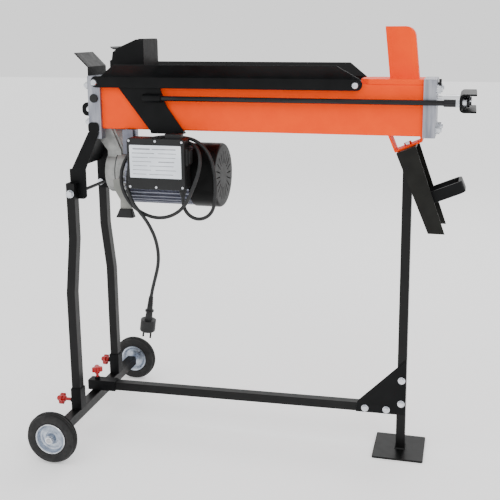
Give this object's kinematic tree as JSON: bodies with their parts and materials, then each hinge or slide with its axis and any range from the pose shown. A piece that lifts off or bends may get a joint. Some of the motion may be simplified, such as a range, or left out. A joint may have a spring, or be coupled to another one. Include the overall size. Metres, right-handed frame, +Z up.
{
  "type": "electric log splitter",
  "caption": "Horizontal electric hydraulic log splitter on a wheeled stand, with ram-driven pusher, wedge, side guards, motor, switch box, clamp knobs, carry handle and mains cord.",
  "frame": {"origin": "on the floor, under the middle of the machine's bounding box", "axes": "+X along the ram towards the wedge end, +Y away from the switch box side, +Z up"},
  "size_m": [1.032, 0.542, 1.039],
  "materials": {
    "black_paint": "satin black paint",
    "orange_paint": "gloss orange paint",
    "cast_aluminium": "die-cast and machined",
    "zinc": "bright zinc plate",
    "chrome": "hard chrome, polished",
    "steel": "machined",
    "rubber": "solid rubber",
    "seal": "seal rubber",
    "red_plastic": "glossy red",
    "black_plastic": "fine texture",
    "cord_rubber": "matt cord sheath",
    "grey_paint": "satin grey",
    "copper": "laminated core and windings"
  },
  "bodies": {
    "frame": {"axle_pins": "steel", "axle_tube": "black_paint", "base_tube": "black_paint", "beam": "orange_paint", "cable_gland": "black_plastic", "carry_handle": "black_paint", "cord_coil": "cord_rubber", "cylinder_tube": "steel", "end_bracket": "black_paint", "fan_cover": "black_paint", "filler_plug": "black_plastic", "frame_bolts": "zinc", "front_guard": "black_paint", "front_leg": "black_paint", "guard_bolts": "zinc", "gusset_plate": "black_paint", "left_head": "cast_aluminium", "motor_housing": "black_paint", "plug": "black_plastic", "post": "black_paint", "power_cord": "cord_rubber", "pump_casting": "cast_aluminium", "rear_guard": "black_paint", "rear_leg": "black_paint", "right_head": "cast_aluminium", "stand_bolts": "zinc", "stand_sockets": "black_paint", "stator": "copper", "stay_bolts": "zinc", "strap_bracket": "orange_paint", "support_leg": "black_paint", "switch_box": "black_plastic", "switch_lid": "black_plastic", "wedge": "orange_paint", "wedge_plate": "orange_paint"},
    "ram": {"piston": "steel", "piston_seals": "seal", "piston_rod": "chrome", "yoke": "black_paint", "yoke_nuts": "zinc", "tie_rods": "steel", "pusher": "black_paint", "carriage_plates": "black_paint", "slide_shoes": "black_plastic"},
    "wheel_front": {"tyre_front": "rubber", "rim_front": "zinc"},
    "wheel_rear": {"tyre_rear": "rubber", "rim_rear": "zinc"},
    "knob_front": {"clamp_knob_front": "red_plastic"},
    "knob_rear": {"clamp_knob_rear": "red_plastic"},
    "knob_base": {"clamp_knob_base": "red_plastic"},
    "lever": {"control_lever": "grey_paint", "lever_grip": "black_plastic"},
    "spool": {"valve_spool": "steel"},
    "rotor_group": {"rotor": "steel", "fan": "black_plastic", "drive_gear": "steel"},
    "idler": {"idler_gear": "steel"},
    "button": {"push_button": "black_plastic"},
    "bleed": {"bleed_screw": "black_plastic"}
  },
  "joints": [
    {"name": "ram_slide", "type": "slide", "parent": "frame", "child": "ram", "axis": [1, 0, 0], "range_m": [0, 0.44]},
    {"name": "wheel_front_spin", "type": "hinge", "parent": "frame", "child": "wheel_front", "pos_m": [-0.452, -0.251, 0.064], "axis": [0, 1, 0], "continuous": true},
    {"name": "wheel_rear_spin", "type": "hinge", "parent": "frame", "child": "wheel_rear", "pos_m": [-0.452, 0.251, 0.064], "axis": [0, 1, 0], "continuous": true},
    {"name": "knob_front_turn", "type": "hinge", "parent": "frame", "child": "knob_front", "pos_m": [-0.47, -0.115, 0.097], "axis": [-1, 0, 0], "range_deg": [0, 540]},
    {"name": "knob_rear_turn", "type": "hinge", "parent": "frame", "child": "knob_rear", "pos_m": [-0.47, 0.115, 0.111], "axis": [-1, 0, 0], "range_deg": [0, 540]},
    {"name": "knob_base_turn", "type": "hinge", "parent": "frame", "child": "knob_base", "pos_m": [-0.452, 0, 0.11], "axis": [0, 0, 1], "range_deg": [0, 540]},
    {"name": "lever_pivot", "type": "hinge", "parent": "frame", "child": "lever", "pos_m": [-0.334, -0.072, 0.662], "axis": [0, 1, 0], "range_deg": [0, 25], "stiffness_Nm_per_rad": 0.6, "springref_deg": -8.59},
    {"name": "spool_slide", "type": "slide", "parent": "frame", "child": "spool", "axis": [1, 0, 0], "range_m": [0, 0.006]},
    {"name": "rotor_spin", "type": "hinge", "parent": "frame", "child": "rotor_group", "pos_m": [-0.25, 0, 0.68], "axis": [1, 0, 0], "continuous": true},
    {"name": "idler_spin", "type": "hinge", "parent": "frame", "child": "idler", "pos_m": [-0.335, 0.03, 0.68], "axis": [1, 0, 0], "continuous": true},
    {"name": "button_press", "type": "slide", "parent": "frame", "child": "button", "axis": [-1, 0, 0], "range_m": [0, 0.004], "stiffness_N_per_m": 400, "springref_m": -0.001},
    {"name": "bleed_turn", "type": "hinge", "parent": "frame", "child": "bleed", "pos_m": [0.428, 0, 0.911], "axis": [1, 0, 0], "range_deg": [0, 540]}
  ],
  "couplings": [
    {"joint": "spool_slide", "follows": "lever_pivot", "m_per_rad": 0.012},
    {"joint": "idler_spin", "follows": "rotor_spin", "ratio": -1}
  ]
}
